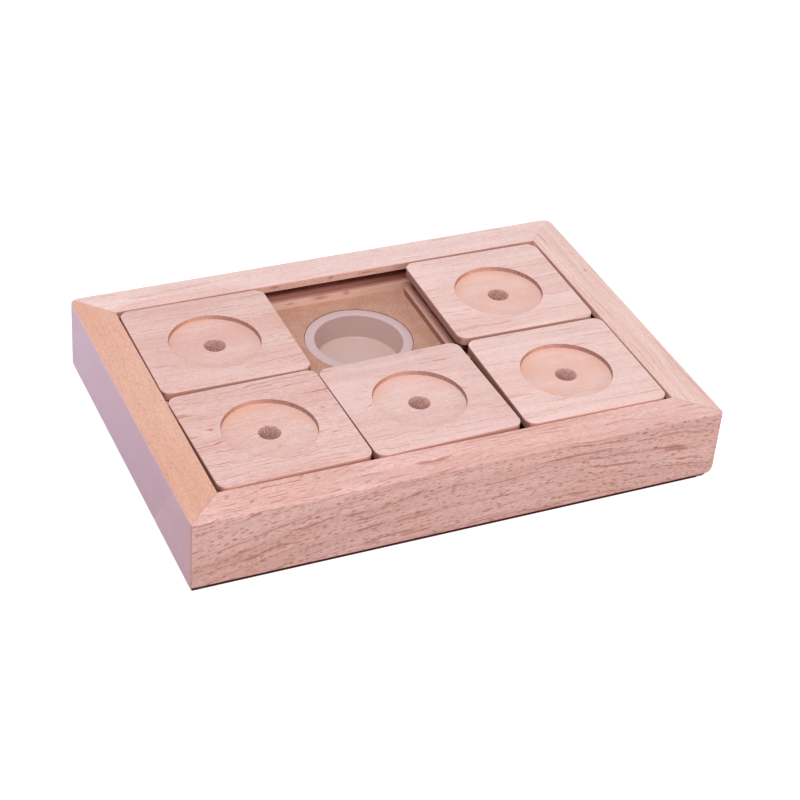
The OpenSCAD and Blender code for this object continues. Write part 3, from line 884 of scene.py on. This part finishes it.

# Below its top edge, the sides of a tile are painted darker, a painted shade in the narrow gaps round it; its
# front faces are painted paler, painted light, and so are the faces that look up inside a cut.
cut_finish, tree, plain, skin = cutter_finish("cut beech with painted shade and light", tone(204, 156, 143),
                                             tone(168, 122, 110), burn=0.12)
sunk = less(tree, 1.0, between(tree, one_of(tree, in_mm(tree), "Z"), TILE_TOP - 1.3, TILE_TOP - 0.4))
forward = between(tree, times(tree, face_to(tree, "Y"), -1.0), 0.5, 0.9)
upward = between(tree, face_to(tree, "Z"), 0.3, 0.8)
plain = mixed(tree, times(tree, sunk, 0.48), plain, tone(112, 68, 58))
plain = mixed(tree, times(tree, forward, 0.75), plain, tone(238, 178, 160))
plain = mixed(tree, times(tree, upward, 0.8), plain, tone(230, 174, 158))
tree.links.new(plain, skin.inputs["Base Color"])

# Round a recess, the colour goes from the right hand wall over the back to the left hand wall.
WALL_TONES = ((0.0, tone(150, 108, 98)), (0.25, tone(178, 132, 120)), (0.42, tone(214, 166, 152)),
              (0.6, tone(232, 180, 160)), (0.78, tone(208, 146, 118)), (1.0, tone(156, 108, 94)))
bored_finish, tree, plain, skin = cutter_finish("beech where it is bored", tone(226, 182, 168),
                                               tone(136, 92, 80), burn=0.0)
ramp = add(tree, "ValToRGB", {0: plus(tree, times(tree, face_to(tree, "X"), 0.5), 0.5)})
stops = ramp.color_ramp.elements
while len(stops) < len(WALL_TONES):
    stops.new(1)
for stop, (at, shade) in zip(stops, WALL_TONES):
    stop.position = at
    stop.color = shade
tree.links.new(mixed(tree, 0.7, plain, ramp.outputs[0]), skin.inputs["Base Color"])

# The recess is warmer than the top round it, most of all near its back wall and in the right hand tiles.
WARM_Z = (35.1 * MM, 36.5 * MM)
WARM_RIM = (15.0 * MM, 21.5 * MM)
WARM_BACK = (-8.0 * MM, 14.0 * MM)
RIGHT_COLUMN = 2
RIGHT_WARMTH = 0.28
for name, tile in TILES.items():
    col, row = tile["cell"]
    slip_x, slip_y = tile["slip"]
    middle = Vector(((col - 1) * CELL_X + slip_x, (row - 0.5) * CELL_Y + slip_y, 0)) * MM
    turned = Matrix.Rotation(math.radians(tile["turn"]), 4, "Z")
    mesh = tile_mesh("tile " + name)
    mesh.transform(Matrix.Translation(middle) @ turned)

    look = {**EVERY_TILE, **tile["look"]}
    words = name.replace("_", " ")
    finish, tree, wood, skin = beech_finish(f"beech of the {words} tile", turn=tile["turn"], **look)
    recess = turned @ Vector((*RECESS_PLACE, 0)) * MM + middle
    spot = add(tree, "TexCoord").outputs["Object"]
    step = add(tree, "VectorMath", {0: spot, 1: recess}, operation="SUBTRACT").outputs[0]
    low = less(tree, 1.0, between(tree, one_of(tree, step, "Z"), *WARM_Z))
    flat = add(tree, "VectorMath", {0: step, 1: (1, 1, 0)}, operation="MULTIPLY").outputs[0]
    far = add(tree, "VectorMath", {0: flat}, operation="LENGTH").outputs["Value"]
    near_wall = between(tree, far, *WARM_RIM)
    near_back = between(tree, one_of(tree, step, "Y"), *WARM_BACK)
    step_mm = add(tree, "Mapping", {"Vector": step, "Scale": (1 / MM,) * 3}).outputs[0]
    cloud = between(tree, noise(tree, step_mm, (0.07, 0.11, 0.1), offset=look["start"]), 0.42, 0.62)
    heat = plus(tree, times(tree, near_wall, near_back, 0.38), times(tree, cloud, 0.28))
    heat = plus(tree, heat, RIGHT_WARMTH if col == RIGHT_COLUMN else 0.0)
    warmed = mixed(tree, times(tree, low, heat), wood.outputs["Color"], tone(226, 174, 154))
    tree.links.new(warmed, skin.inputs["Base Color"])
    fainter = less(tree, 1.0, times(tree, low, 0.55))
    tree.links.new(times(tree, fainter, look["Lines"]), wood.inputs["Lines"])

    piece = new_object(f"tile_{name}_beech", mesh, finish, cut_finish, bored_finish, tile_groove_finish,
                       hole_finish)
    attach(piece, name + "_slider")
    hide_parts("tile_" + name)
